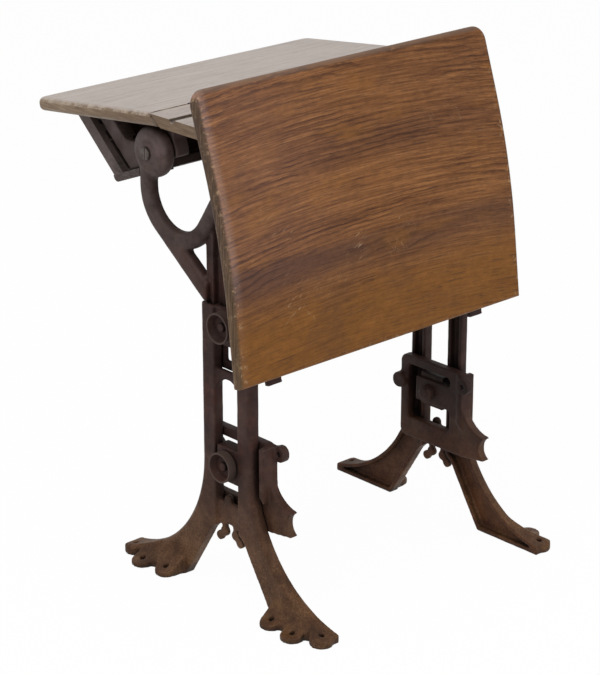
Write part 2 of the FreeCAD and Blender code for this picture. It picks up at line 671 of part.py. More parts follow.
def standard():
    rib_outer_x = channel_floor_x - v.slide_gap
    rib_in = channel_in + v.rib_gap
    rib_out = channel_out - v.rib_gap
    rib_middle = (rib_in + rib_out) / 2
    shapes = [ring_casting(-rib_middle)]
    for side, top in ((-1, v.rear_bar_top), (1, v.front_bar_top)):
        y_from, y_to = sorted((side * rib_in, side * rib_out))
        bar = block(slider_inner_x, rib_outer_x, y_from, y_to, v.slider_bottom, top)
        groove_from = side * rib_middle - v.bar_groove / 2
        groove = block(
            rib_outer_x - v.bar_groove_depth,
            rib_outer_x + v.overrun,
            groove_from,
            groove_from + v.bar_groove,
            v.slider_bottom - v.overrun,
            top - v.bar_groove,
        )
        y_from, y_to = sorted((side * v.slider_plate_in, side * rib_out))
        cheek = block(slider_inner_x, plate_outer_x, y_from, y_to, v.slider_bottom, v.slider_web_top)
        shapes += [bar.cut(groove), cheek]
    slider_bar_top = v.slider_bottom + v.slider_bar
    for z_from, z_to in ((v.slider_bottom, slider_bar_top), (v.slider_web_bottom, v.slider_web_top)):
        shapes.append(block(slider_inner_x, plate_outer_x, -rib_out, rib_out, z_from, z_to))
    boss = drum(
        arm_outer_x - v.arm_round, boss_face_x, boss_y, v.boss_z, v.boss_radius - v.boss_dome_inset
    )
    boss = rounded(boss, v.boss_round, lambda edge: at_x(edge, boss_face_x))
    collar = drum(boss_face_x, boss_face_x + v.collar_height, boss_y, v.boss_z, v.collar_radius)
    strap = bent_slab(
        v.strap_centre_x - v.strap_width / 2,
        v.strap_centre_x + v.strap_width / 2,
        v.back_thickness,
        v.back_thickness + v.strap_thickness,
        v.strap_top_drop,
        v.strap_nub,
    )
    board = bent_slab(v.bracket_inner_x, boss_face_x, -v.back_thickness, v.back_thickness, 0, 0)
    solid = joined(shapes + [boss, collar]).cut(board)
    solid = joined([solid, strap])
    screw_length = v.boss_depth + v.collar_height
    tools = [screw_hole(spot(boss_face_x, boss_y, v.boss_z), -ACROSS, v.boss_screw_radius, screw_length)]
    tools += [
        screw_hole(seat, direction, v.screw_radius, v.screw_length)
        for seat, direction in strap_screw_places()
    ]
    return solid.cut(Part.makeCompound(tools))


side_pair("standard", standard())


# Book box: lines of the bottom board and of the slanted front board

bottom_run = unit(v.box_bottom_angle)
bottom_up = (-bottom_run[1], bottom_run[0])
front_run = (-unit(v.box_front_angle)[0], unit(v.box_front_angle)[1])
front_in = (front_run[1], -front_run[0])
lid_run = (-unit(v.lid_angle)[0], -unit(v.lid_angle)[1])
lid_up = (lid_run[1], -lid_run[0])
front_per_bottom = bottom_run[0] * front_in[0] + bottom_run[1] * front_in[1]
front_foot = along(
    *along(v.box_corner_y, v.box_corner_z, bottom_up, v.box_bottom_thickness),
    bottom_run,
    v.box_front_setback,
)


def front_line(depth):
    """Foot and top of the line at a depth inside the front board's outer face, under the lid."""
    foot_point = along(*front_foot, bottom_run, depth / front_per_bottom)
    under = v.pivot_depth - v.board_thickness - v.lid_rest_gap
    height = (foot_point[0] - v.pivot_y) * lid_up[0] + (foot_point[1] - v.pivot_z) * lid_up[1]
    climb = front_run[0] * lid_up[0] + front_run[1] * lid_up[1]
    return foot_point, along(*foot_point, front_run, (under - height) / climb)


def under_lid(y):
    """Height of the resting lid's underside, less the gap, at a Y."""
    under = v.pivot_depth - v.board_thickness - v.lid_rest_gap
    return v.pivot_z + (under - (y - v.pivot_y) * lid_up[0]) / lid_up[1]


def front_screw_places():
    """Seats of the front board's screws on the bracket arm, with the way into the board."""
    x = (v.bracket_inner_x + v.arm_inner_x - v.bracket_slot_depth) / 2
    foot_point, top_point = front_line(v.box_front_thickness + v.bracket_slot_width)
    places = []
    for share in FRONT_SCREW_SHARES:
        y = foot_point[0] + (top_point[0] - foot_point[0]) * share
        z = foot_point[1] + (top_point[1] - foot_point[1]) * share
        places.append((spot(x, y, z), spot(0, -front_in[0], -front_in[1])))
    return places


def bottom_screw_places():
    """Seats of the bottom board's screws on its underside, with the way into the bracket."""
    x = (v.bracket_inner_x + v.arm_inner_x) / 2
    places = []
    for share in BOTTOM_SCREW_SHARES:
        y, z = along(v.box_corner_y, v.box_corner_z, bottom_run, v.box_bottom_depth * share)
        places.append((spot(x, y, z), spot(0, *bottom_up)))
    return places


def rail_screw_places():
    """Seats of the rail's screws under the bracket flange, with the way into the rail."""
    x = (v.bracket_inner_x + v.arm_inner_x) / 2
    span = v.flange_rear_y - v.flange_step_y
    z = rail_bottom - v.flange_thickness
    return [(spot(x, v.flange_step_y + span * share, z), UP) for share in RAIL_SCREW_SHARES]


def fitted(shape, places, radius, length):
    """A shape with the screws' holes, on both sides of the desk."""
    holes = [screw_hole(seat, direction, radius, length) for seat, direction in places]
    return shape.cut(Part.makeCompound(holes + [hole.mirror(ORIGIN, ACROSS) for hole in holes]))


def screws(label, places):
    piece(label, Part.makeCompound([both_sides(wood_screw(*place)) for place in places]))


def box_front_board():
    outer_foot, outer_top = front_line(0)
    inner_foot, inner_top = front_line(v.box_front_thickness)
    board = prism([outer_foot, inner_foot, inner_top, outer_top], -v.box_half_width, v.box_half_width)
    return fitted(board, front_screw_places(), v.screw_radius, v.screw_length)


def box_bottom_board():
    corner = (v.box_corner_y, v.box_corner_z)
    rear = along(*corner, bottom_run, v.box_bottom_depth)
    board = prism(
        [
            corner,
            rear,
            along(*rear, bottom_up, v.box_bottom_thickness),
            along(*corner, bottom_up, v.box_bottom_thickness),
        ],
        -v.box_half_width,
        v.box_half_width,
    )
    board = rounded(
        board,
        v.box_bottom_round,
        lambda edge: runs_along(edge, ACROSS) and edge.BoundBox.ZMax < v.box_corner_z + v.overrun,
    )
    notches = both_sides(
        block(
            v.arm_inner_x - v.slide_gap,
            boss_face_x + v.overrun,
            boss_y - v.boss_radius - v.slide_gap,
            rear[0] + v.overrun,
            v.box_corner_z,
            v.boss_z,
        )
    )
    return fitted(board.cut(notches), bottom_screw_places(), v.screw_radius, v.screw_length)


def box_bracket():
    inner_foot, inner_top = front_line(v.box_front_thickness)
    slot_foot, slot_top = front_line(v.box_front_thickness + v.bracket_slot_width)
    arm_foot, arm_top = front_line(v.box_front_thickness + v.bracket_arm_width)
    base_front = along(*inner_foot, bottom_up, v.bracket_base)
    rear = along(v.box_corner_y, v.box_corner_z, bottom_run, v.box_bottom_depth)
    rear_low = along(*rear, bottom_up, v.box_bottom_thickness)
    rear_high = along(*rear_low, bottom_up, v.bracket_base)
    crotch = along(*arm_foot, front_run, v.bracket_crotch)
    arm = prism([inner_foot, arm_foot, arm_top, inner_top], v.bracket_inner_x, v.arm_inner_x)
    groove = prism(
        [along(*inner_foot, bottom_up, v.bracket_slot_width / 2), slot_foot, slot_top, inner_top],
        v.arm_inner_x - v.bracket_slot_depth,
        v.arm_inner_x + v.overrun,
    )
    base = prism([inner_foot, rear_low, rear_high, base_front], v.bracket_inner_x, v.arm_inner_x)
    web = prism(
        [inner_foot, rear_high, (boss_y, v.boss_z), crotch], v.bracket_inner_x, v.arm_inner_x
    )
    boss = drum(v.bracket_inner_x, v.arm_inner_x, boss_y, v.boss_z, v.bracket_boss_radius)
    flange_top = rail_bottom - v.flange_drop
    front_top = under_lid(v.upright_front_y)
    flange = prism(
        [
            (v.upright_front_y, front_top - v.flange_thickness),
            (v.upright_front_y, front_top),
            (v.pivot_y, min(flange_top, under_lid(v.pivot_y))),
            (v.flange_step_y, flange_top),
            (v.flange_step_y, rail_bottom),
            (v.flange_rear_y, rail_bottom),
            (v.flange_rear_y, rail_bottom - v.flange_thickness),
            (v.upright_rear_y, rail_bottom - v.flange_thickness),
        ],
        v.bracket_inner_x,
        v.arm_inner_x,
    )
    upright = block(
        v.bracket_inner_x,
        v.arm_inner_x,
        v.upright_front_y,
        v.upright_rear_y,
        rear_high[1],
        front_top - v.flange_thickness / 2,
    )
    below = prism(
        [
            inner_foot,
            along(*rear_low, bottom_run, v.bracket_boss_radius),
            (v.upright_rear_y, v.box_corner_z),
            (inner_foot[0], v.box_corner_z),
        ],
        v.bracket_inner_x,
        v.arm_inner_x,
    )
    solid = joined([arm, base, web, boss, flange, upright]).cut(groove).cut(below)
    boss_seat = spot(v.arm_inner_x, boss_y, v.boss_z)
    tools = [screw_hole(boss_seat, -ACROSS, v.boss_screw_radius, v.arm_inner_x - v.bracket_inner_x)]
    for places in (front_screw_places(), bottom_screw_places(), rail_screw_places()):
        tools += [screw_hole(*place, v.screw_radius, v.screw_length) for place in places]
    for seat, direction in front_screw_places():
        tools.append(rod(seat, -direction, v.screw_head_radius + v.bolt_clearance, v.bracket_arm_width))
    return solid.cut(Part.makeCompound(tools))


piece("box_front_board", box_front_board())
piece("box_bottom_board", box_bottom_board())
side_pair("box_bracket", box_bracket())
screws("box_front_screws", front_screw_places())
screws("box_bottom_screws", bottom_screw_places())
screws("rail_screws", rail_screw_places())
piece("boss_screws", both_sides(
    screw(
        spot(boss_face_x + v.collar_height, boss_y, v.boss_z),
        -ACROSS,
        v.boss_screw_head_radius,
        v.boss_screw_head_height,
        v.boss_screw_radius,
        boss_face_x + v.collar_height - v.bracket_inner_x,
    )
))


# Top: pencil rail and lift lid, drawn as sketches and padded across the desk


def cut_piece(label, body, tools):
    """The node of a board: its body less the tools."""
    tool = doc.addObject("Part::Feature", label + "_cuts")
    tool.Shape = Part.makeCompound(tools)
    node = doc.addObject("Part::Cut", label)
    node.Label = label
    node.Base = body
    node.Tool = tool
    nodes.append(node)


def seam_line(bevel, thickness):
    """Direction down a bevelled edge of the seam."""
    length = sqrt(bevel**2 + thickness**2)
    return (bevel / length, -thickness / length)


rail_edge = (v.pivot_y + v.rail_edge_gap, rail_top)
rail_down = seam_line(v.rail_bevel, v.rail_thickness)
rail_out = (rail_down[1], -rail_down[0])
lid_turn = FreeCAD.Rotation(ACROSS, v.lid_angle)
pivot = spot(0, v.pivot_y, v.pivot_z)
lid_edge = (-v.lid_edge_gap, v.pivot_depth)
lid_down = seam_line(v.lid_bevel, v.board_thickness)
lid_out = (-lid_down[1], lid_down[0])


def leaf_outline(edge, down, out):
    """Side outline of a hinge leaf that lies on a bevelled edge."""
    start = along(*edge, down, v.leaf_start)
    end = along(*edge, down, v.leaf_start + v.leaf_reach)
    return [start, end, along(*end, out, v.leaf_thickness), along(*start, out, v.leaf_thickness)]


def leaf_screw_places(edge, down, out):
    """Seats of a leaf's screws on the leaf's face, with the way into the wood."""
    seat = along(*edge, down, v.leaf_start + v.leaf_reach * v.leaf_screw_share)
    y, z = along(*seat, out, v.leaf_thickness)
    offsets = (-v.leaf_screw_pitch / 2, v.leaf_screw_pitch / 2)
    return [(spot(v.hinge_x + offset, y, z), spot(0, -out[0], -out[1])) for offset in offsets]


def leaf_screw(seat, direction):
    return screw(
        seat,
        direction,
        v.leaf_screw_head_radius,
        v.leaf_screw_head_height,
        v.leaf_screw_radius,
        v.leaf_screw_length,
    )


hinge_from = v.hinge_x - v.hinge_length / 2
hinge_to = v.hinge_x + v.hinge_length / 2
middle_from = hinge_from + v.hinge_length / 3
middle_to = hinge_to - v.hinge_length / 3


def leaf(outline, pivot_y, pivot_z, knuckle_spans, clear_spans, places):
    """A hinge leaf with its knuckles, cleared round the other leaf's knuckles."""
    knuckles = [drum(a, b, pivot_y, pivot_z, v.knuckle_radius) for a, b in knuckle_spans]
    room = v.knuckle_radius + v.knuckle_gap
    clear = [drum(a, b, pivot_y, pivot_z, room) for a, b in clear_spans]
    bore_radius = v.pin_radius + v.pin_clearance
    bore = drum(hinge_from - v.overrun, hinge_to + v.overrun, pivot_y, pivot_z, bore_radius)
    solid = prism(outline, hinge_from, hinge_to).cut(Part.makeCompound(clear))
    solid = joined([solid] + knuckles).cut(bore)
    holes = [screw_hole(*place, v.leaf_screw_radius, v.leaf_screw_length) for place in places]
    return solid.cut(Part.makeCompound(holes))


def in_lid(shape):
    """A shape drawn flat about the pivot, turned to the lid's slope and moved to the pivot."""
    turned = shape.copy()
    turned.Placement = FreeCAD.Placement(pivot, lid_turn).multiply(turned.Placement)
    return turned


fixed_spans = ((hinge_from, middle_from - v.knuckle_gap), (middle_to + v.knuckle_gap, hinge_to))
moving_spans = ((middle_from, middle_to),)
fixed_clear = ((middle_from - v.knuckle_gap, middle_to + v.knuckle_gap),)
moving_clear = (
    (hinge_from - v.overrun, middle_from),
    (middle_to, hinge_to + v.overrun),
)
rail_places = leaf_screw_places(rail_edge, rail_down, rail_out)
lid_places = leaf_screw_places(lid_edge, lid_down, lid_out)
rail_leaf = leaf(
    leaf_outline(rail_edge, rail_down, rail_out), v.pivot_y, v.pivot_z, fixed_spans, fixed_clear, rail_places
)
lid_leaf = leaf(leaf_outline(lid_edge, lid_down, lid_out), 0, 0, moving_spans, moving_clear, lid_places)
pin = doc.addObject("Part::Cylinder", "hinge_pin")
pin.setExpression("Radius", "sizes.pin_radius")
pin.setExpression("Height", "sizes.hinge_length")
pin.Placement.Rotation = FreeCAD.Rotation(UP, ACROSS)
pin.setExpression("Placement.Base.x", "sizes.hinge_x - sizes.hinge_length / 2")
pin.setExpression("Placement.Base.y", "sizes.pivot_y")
pin.setExpression("Placement.Base.z", "sizes.pivot_z")
doc.recompute()
side_pair("hinge_rail_leaf", rail_leaf)
side_pair("hinge_lid_leaf", in_lid(lid_leaf))
node_pair("hinge_pin", pin)
piece("hinge_rail_screws", Part.makeCompound([both_sides(leaf_screw(*place)) for place in rail_places]))
piece("hinge_lid_screws", Part.makeCompound(
    [both_sides(in_lid(leaf_screw(*place))) for place in lid_places]
))

RAIL_TOP = "sizes.pivot_z + sizes.pivot_depth"
RAIL_LOW = RAIL_TOP + " - sizes.rail_thickness"
RAIL_EDGE = "sizes.pivot_y + sizes.rail_edge_gap"
BACK_AT_RAIL = (
    "sizes.back_top_y + (sizes.back_top_z - (" + RAIL_TOP + ")) * tan(sizes.back_top_lean * 1 deg)"
    " - sizes.back_thickness / cos(sizes.back_top_lean * 1 deg) - sizes.rail_back_gap"
)
rail_body, rail_pad = padded_body(
    "pencil_rail_body",
    [
        (RAIL_EDGE, RAIL_TOP),
        (RAIL_EDGE + " + sizes.rail_bevel", RAIL_LOW),
        (BACK_AT_RAIL, RAIL_LOW),
        (BACK_AT_RAIL, RAIL_TOP),
    ],
    "sizes.top_half_width",
)
groove_end = v.top_half_width + v.overrun
groove_radius = v.groove_width / 2
groove_z = rail_top + groove_radius - v.groove_depth
rail_cuts = [drum(-groove_end, groove_end, v.groove_y, groove_z, groove_radius)]
for place in rail_screw_places():
    hole = screw_hole(*place, v.screw_radius, v.screw_length)
    rail_cuts += [hole, hole.mirror(ORIGIN, ACROSS)]
for place in rail_places:
    hole = screw_hole(*place, v.leaf_screw_radius, v.leaf_screw_length)
    rail_cuts += [hole, hole.mirror(ORIGIN, ACROSS)]
cut_piece("pencil_rail", rail_body, rail_cuts)

lid_body, lid_pad = padded_body(
    "lid_body",
    [
        ("-sizes.lid_edge_gap", "sizes.pivot_depth"),
        ("-sizes.lid_reach", "sizes.pivot_depth"),
        ("-sizes.lid_reach", "sizes.pivot_depth - sizes.board_thickness"),
        ("sizes.lid_bevel - sizes.lid_edge_gap", "sizes.pivot_depth - sizes.board_thickness"),
    ],
    "sizes.top_half_width",
)
lid_corners = rounded_body(
    lid_body,
    lid_pad,
    "lid_corner_round",
    "sizes.top_corner_round",
    lambda edge: runs_along(edge, UP) and edge.BoundBox.YMax < -v.lid_reach / 2,
)
rounded_body(
    lid_body,
    lid_corners,
    "lid_edge_round",
    "sizes.lid_round",
    lambda edge: runs_along(edge, ACROSS) and edge.BoundBox.YMax < -v.lid_reach / 2,
)
lid_body.Placement = FreeCAD.Placement(pivot, lid_turn)
lid_cuts = []
for shape in [
    drum(hinge_from - v.knuckle_notch_gap, hinge_to + v.knuckle_notch_gap, 0, 0,
         v.knuckle_radius + v.knuckle_notch_gap)
] + [screw_hole(*place, v.leaf_screw_radius, v.leaf_screw_length) for place in lid_places]:
    turned = in_lid(shape)
    lid_cuts += [turned, turned.mirror(ORIGIN, ACROSS)]
cut_piece("lid", lid_body, lid_cuts)


# Seat brackets and their clamps


def seat_bracket():
    flange_in = post_outer + v.flange_gap
    front_out_y = flange_in + v.seat_front_wall
    wall_x = seat_inner_x - v.seat_wall_inset
    wall_top = v.seat_top - v.wall_drop
    frame = block(seat_inner_x, plate_outer_x, v.seat_rear_y, front_out_y, v.seat_bottom, v.seat_top)
    frame = rounded(frame, v.seat_corner_round, lambda edge: runs_along(edge, ACROSS))
    window = block(
        seat_inner_x - v.overrun,
        plate_outer_x + v.overrun,
        -v.window_half_width,
        v.window_half_width,
        v.seat_bottom + v.seat_low_bar,
        v.seat_top - v.seat_top_bar,
    )
    window = rounded(window, v.seat_corner_round / 2, lambda edge: runs_along(edge, ACROSS))
    front_wrap = prism(
        [
            (flange_in, wall_top),
            (front_out_y, wall_top),
            (front_out_y, v.wrap_bottom - v.seat_front_wall),
            (flange_in, v.wrap_bottom),
        ],
        wall_x,
        plate_outer_x + v.seat_front_depth,
    )
    top_start = spot(seat_inner_x, front_out_y, v.horn_top_z)
    prong = spot(seat_inner_x, v.horn_reach, v.horn_prong_z)
    curve_mid = spot(
        seat_inner_x,
        front_out_y + (v.horn_reach - front_out_y) * v.horn_curve_share,
        v.horn_prong_z + (v.horn_top_z - v.horn_prong_z) * v.horn_curve_share,
    )
    low_prong = spot(seat_inner_x, v.horn_reach, v.horn_low_z)
    saddle = spot(seat_inner_x, v.horn_reach - v.horn_saddle, (v.horn_prong_z + v.horn_low_z) / 2)
    corners = [
        low_prong,
        spot(seat_inner_x, front_out_y, v.seat_bottom),
        spot(seat_inner_x, flange_in, v.seat_bottom),
        spot(seat_inner_x, flange_in, v.horn_top_z),
        top_start,
    ]
    edges = [Part.Arc(top_start, curve_mid, prong).toShape(), Part.Arc(prong, saddle, low_prong).toShape()]
    edges += [Part.LineSegment(a, b).toShape() for a, b in zip(corners, corners[1:])]
    horn = Part.Face(Part.Wire(edges)).extrude(ACROSS * v.seat_plate)
    ear_from = wall_x - v.ear_inset
    ear_to = ear_from + v.ear_depth
    ear = drum(ear_from, ear_to, v.front_ear_y, v.front_ear_z, v.front_ear_radius)
    ear_neck = block(
        wall_x,
        ear_to,
        flange_in,
        v.front_ear_y,
        v.front_ear_z - v.front_ear_radius,
        v.front_ear_z + v.front_ear_radius / 2,
    )
    rear_ear = drum(ear_from, ear_to, v.rear_ear_y, v.rear_ear_z, v.rear_ear_radius)
    cross = block(
        seat_inner_x,
        plate_outer_x,
        -v.cross_rear,
        v.window_half_width,
        v.seat_clamp_height - v.cross_half_height,
        v.seat_clamp_height + v.cross_half_height,
    )
    guide_half = slot_half - v.guide_gap
    guide = block(
        plate_outer_x - v.seat_plate / 2,
        leg_outer_x - v.block_recess,
        -guide_half,
        guide_half,
        v.seat_clamp_height - v.guide_half_height,
        v.seat_clamp_height + v.guide_half_height,
    )
    solid = joined([frame.cut(window), front_wrap, horn, ear, ear_neck, rear_ear, cross, guide])
    tools = [
        drum(ear_from, leg_outer_x, 0, v.seat_clamp_height, v.bolt_radius + v.bolt_clearance),
        drum(
            ear_from - v.overrun,
            ear_to + v.overrun,
            v.front_ear_y,
            v.front_ear_z,
            v.ear_hole_radius,
        ),
    ]
    return solid.cut(Part.makeCompound(tools))


SEAT_CUP = "sizes.leg_inner_x + sizes.leg_depth + sizes.slide_gap"
SEAT_INNER = "sizes.leg_inner_x - sizes.slide_gap - sizes.seat_plate"
side_pair("seat_bracket", seat_bracket())
cup("seat_cup", SEAT_CUP, "sizes.seat_clamp_height")
bolt("seat_bolt", SEAT_CUP, "sizes.seat_clamp_height", SEAT_INNER)
nut("seat_nut", SEAT_INNER + " - sizes.slide_gap", "sizes.seat_clamp_height")

doc.recompute()
failed = [item.Name for item in doc.Objects if set(item.State) & {"Invalid", "Error"}]
failed += [item.Label for item in nodes if item.Shape.isNull() or not item.Shape.isValid()]
if failed:
    raise RuntimeError("failed: " + ", ".join(failed))
os.makedirs("parts", exist_ok=True)
for item in nodes:
    item.Shape.exportStep("parts/%s.step" % item.Label)
    print(item.Label, len(item.Shape.Solids), round(item.Shape.Volume))
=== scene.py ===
# School desk with lift lid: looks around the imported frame. Metres, +Z up, the pupil sits at -Y.
import json
from math import radians

import bpy
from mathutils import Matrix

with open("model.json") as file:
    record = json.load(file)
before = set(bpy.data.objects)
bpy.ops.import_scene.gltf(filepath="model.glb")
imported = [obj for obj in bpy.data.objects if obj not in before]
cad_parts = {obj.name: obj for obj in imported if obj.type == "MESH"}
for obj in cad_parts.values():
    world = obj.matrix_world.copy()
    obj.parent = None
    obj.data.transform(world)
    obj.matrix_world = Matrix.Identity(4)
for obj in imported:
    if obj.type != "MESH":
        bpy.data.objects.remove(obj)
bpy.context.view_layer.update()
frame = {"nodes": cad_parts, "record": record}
nodes = frame["nodes"]

# Camera, fitted to the photograph: yaw runs clockwise from +Y
CAMERA_PLACE = (2.2554, 2.3510, 1.5712)
CAMERA_YAW = 222.83
CAMERA_PITCH = -20.79
CAMERA_LENS = 130.43
CAMERA_SENSOR = 36

# Light; each lamp has a name, place, aim, size and power
WORLD_STRENGTH = 0.5
FLOOR_SIZE = 30
FLOOR_COLOUR = (0.9, 0.9, 0.9, 1)
FLOOR_WHITE_SHARE = 0.97
LAMPS = (
    ("key", (1.9, 0.6, 2.6), (0, 0, 0.45), 2.0, 34),
    ("front", (-0.6, 3.0, 1.7), (0, 0, 0.5), 1.8, 26),
    ("top", (0, -0.6, 2.9), (0, -0.1, 0.5), 2.0, 16),
)

# Iron: colours, and the heights between which each kind of wear comes in
IRON_PAINT = ((0.28, (0.017, 0.0075, 0.0062)), (0.5, (0.034, 0.0148, 0.0115)), (0.74, (0.060, 0.030, 0.023)))
IRON_RUBBED = (0.080, 0.059, 0.053)
IRON_RUBBED_HEIGHTS = (0.44, 0.58)
IRON_HANDLED = (0.134, 0.103, 0.100)
IRON_HANDLED_HEIGHTS = (0.595, 0.645)
IRON_RED = (0.020, 0.004, 0.002)
IRON_GRIME = (0.55, 0.53, 0.52)
IRON_GRIME_SHIFT = (0.7, 0.2, 0.4)
IRON_RUST = ((0.3, (0.058, 0.024, 0.009)), (0.5, (0.096, 0.043, 0.016)), (0.7, (0.150, 0.076, 0.034)))
IRON_RUST_HEIGHTS = (0.24, 0.02)
# Painted shade on faces turned inward, towards the other leg; weaker and warmer near the floor
IRON_INSIDE_PAINTED_SHADE = (0.42, 0.35, 0.33)
IRON_INSIDE_PAINTED_SHADE_LOW = (0.80, 0.58, 0.46)
# Worn paint and a painted highlight on convex edges
IRON_EDGE_WEAR_AND_HIGHLIGHT = (0.13, 0.095, 0.078)
# Painted shade in corners and recesses: its near-black colour, and how far the occlusion looks
IRON_HOLLOW_SHADE = (0.006, 0.004, 0.0035)
IRON_HOLLOW_SHADE_REACH = 0.03
IRON_BLOOM = (0.085, 0.043, 0.022)
IRON_SPECK = (0.12, 0.095, 0.08)

# Hinges and small screws
STEEL = ((0.3, (0.05, 0.038, 0.034)), (0.7, (0.13, 0.105, 0.09)))

# Wood grain runs along X: stretches of its noises, and how far its rings lean over along Y
BROAD_STRETCH = (1.6, 5, 5)
WANDER_STRETCH = (13, 40, 40)
WANDER_PART = 7
FIBRE_STRETCH = (8, 340, 340)
PORE_STRETCH = (24, 1000, 1000)
PORE_SPAN = (0.56, 0.66)
RING_LEAN = 0.42

# Backrest: glued up from two boards, whose grain is shifted against each other
BACK_JOINT_HEIGHT = 0.515
BACK_BOARD_SHIFT = 1.37
# Its grain arches: the lines drop with the square of the distance from this place along X
GRAIN_ARCH = 0.24
GRAIN_ARCH_PLACE = 0.03
BACK_BODY = ((0.28, (0.112, 0.041, 0.014)), (0.5, (0.218, 0.087, 0.027)), (0.72, (0.338, 0.148, 0.050)))
BACK_ZONE_STRETCH = (2.2, 9, 9)
BACK_SHADE = (0.55, 0.52, 0.66)
BACK_SEAM = (0.100, 0.042, 0.021)
BACK_SEAM_HEIGHTS = (0.43, 0.50)
BACK_SEAM_EDGES = (0.521, 0.503)
BACK_CLEAR_STRETCH = (3, 11, 11)
BACK_LINE = (0.36, 0.32, 0.35)
BACK_GOLD = (0.208, 0.080, 0.009)
BACK_GOLD_HEIGHTS = (0.49, 0.41)
BACK_AMBER = (0.27, 0.108, 0.020)
BACK_AMBER_STRETCH = (5, 14, 14)
BACK_MOTTLE = (0.58, 0.54, 0.5)
BACK_PORE = (0.040, 0.018, 0.011)
BACK_STAIN = (0.085, 0.036, 0.017)
BACK_JOINT_WIDTHS = (0.0009, 0.0003)
BACK_UPPER_HEIGHTS = (0.42, 0.55)
# Painted sheen: a grey haze over the upper face towards one end
BACK_PAINTED_SHEEN = (0.010, 0.010, 0.015)
BACK_PAINTED_SHEEN_PLACES = (-0.02, 0.22)
# Painted highlight: a pale band along the arris at that end
BACK_PAINTED_HIGHLIGHT = (0.062, 0.056, 0.058)
BACK_PAINTED_HIGHLIGHT_PLACES = (0.252, 0.267)
BACK_FLECK = (0.55, 0.50, 0.48)
BACK_FLECK_STRETCH = (70, 520, 520)
BACK_END = ((0.3, (0.048, 0.030, 0.017)), (0.55, (0.108, 0.068, 0.038)), (0.75, (0.21, 0.138, 0.080)))
BACK_END_SHADE = (0.62, 0.62, 0.68)
BACK_END_SHADE_HEIGHTS = (0.44, 0.62)
BACK_END_PLACES = (0.2668, 0.2718)
BACK_CROWN = (0.150, 0.100, 0.073)
BACK_CROWN_HEIGHTS = (0.7395, 0.7455)
BACK_ARRIS_PLACES = (0.256, 0.268)
BACK_ARRIS_STOP = (0.2729, 0.2700)
BACK_FOOT_HEIGHTS = (0.366, 0.352)
# Scratches through the stain: slant in degrees, and the shift that tells one set's patches from the other's
SCRATCHES = ((62, (0.0, 0.0, 0.0)), (-28, (0.41, 0.0, 0.23)))
SCRATCH_STRETCH = (46, 60, 300)
PALE_WOOD = (0.40, 0.27, 0.155)

# Lid and pencil rail; the stain comes in from the front of the lid towards the hinge
# Upward faces: worn varnish, paled further as a painted sheen
TOP_WORN_AND_SHEEN = ((0.28, (0.275, 0.215, 0.180)), (0.5, (0.33, 0.268, 0.228)), (0.72, (0.385, 0.322, 0.278)))
TOP_BROWN = ((0.28, (0.122, 0.080, 0.048)), (0.5, (0.222, 0.153, 0.095)), (0.72, (0.325, 0.236, 0.157)))
TOP_REAR_STAIN = (0.68, 0.62, 0.56)
TOP_REAR_PLACES = (-0.30, -0.12)
TOP_LINE = (0.66, 0.63, 0.61)
TOP_FLECK = (0.13, 0.092, 0.072)
TOP_FLECK_STRETCH = (60, 420, 420)
TOP_PORE = (0.085, 0.058, 0.045)
TOP_STAIN = (0.16, 0.112, 0.084)
TOP_SPECK = (0.10, 0.070, 0.055)
# Pale arris colour: worn varnish and a painted highlight
TOP_RUBBED_AND_HIGHLIGHT = (0.44, 0.37, 0.30)
# The pencil groove is darkened with painted shade: its middle and half width along Y, its edge's height and
# its end along X
GROOVE_PAINTED_SHADE = (0.050, 0.035, 0.027)
GROOVE_PLACE = -0.05
GROOVE_HALF_WIDTHS = (0.0085, 0.0070)
GROOVE_EDGE_HEIGHTS = (0.6940, 0.6928)
GROOVE_ENDS = (0.2600, 0.2585)

# Book box; the front board is paler
BOX_BODY = ((0.28, (0.042, 0.031, 0.028)), (0.5, (0.072, 0.054, 0.049)), (0.72, (0.110, 0.085, 0.076)))
BOX_FRONT = (0.145, 0.110, 0.102)
BOX_FRONT_PLACES = (-0.236, -0.252)
BOX_WEAR = (0.11, 0.082, 0.062)

# Castings get soft edges and a cast skin, boards and hardware get small bevels
CASTINGS = ("leg", "standard", "seat_bracket", "box_bracket")
CASTING_VOXEL = 0.0016
CASTING_SMOOTHING = 8
CASTING_SMOOTH_FACTOR = 0.5
CAST_ROUGHNESS = 0.0005
CAST_GRAIN = 0.02
BEVELS = {
    "lid": 0.0012,
    "pencil_rail": 0.0012,
    "box_front_board": 0.0012,
    "box_bottom_board": 0.001,
}
SMALL_BEVEL = 0.0006
BEVEL_ANGLE = 35
BEVEL_SEGMENTS = 2

NOISE_MIDDLE = 0.5


